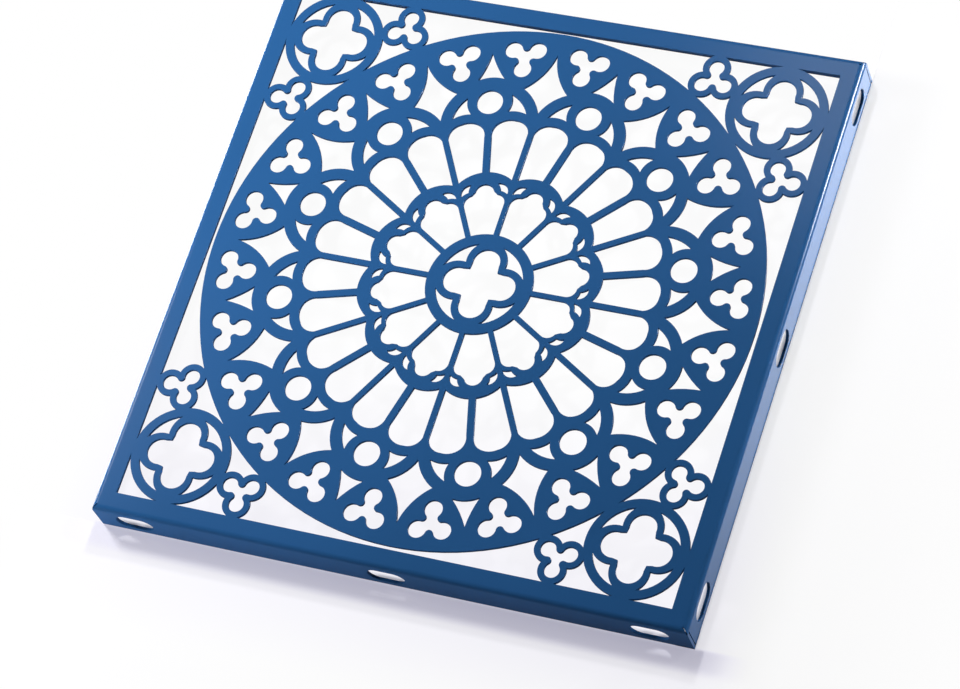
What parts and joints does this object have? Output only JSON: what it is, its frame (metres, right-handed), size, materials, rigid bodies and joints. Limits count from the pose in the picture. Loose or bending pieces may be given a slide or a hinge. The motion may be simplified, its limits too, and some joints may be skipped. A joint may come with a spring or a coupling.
{
  "type": "decorative screen panel",
  "caption": "Square folded aluminium tray with a face pierced with rose-window tracery and slotted edges, fixed side by side with others as a decorative screen.",
  "frame": {"origin": "centre of the panel, in the plane of the rear edges of its returns", "axes": "+Z out of the decorative face, +X to the right and -Y to the bottom edge of the panel"},
  "size_m": [0.3, 0.3, 0.019],
  "materials": {
    "powder_coat": "satin blue powder coat on aluminium sheet"
  },
  "bodies": {
    "root": {"tracery_face": "powder_coat", "bottom_return": "powder_coat", "top_return": "powder_coat", "left_return": "powder_coat", "right_return": "powder_coat"}
  },
  "joints": []
}
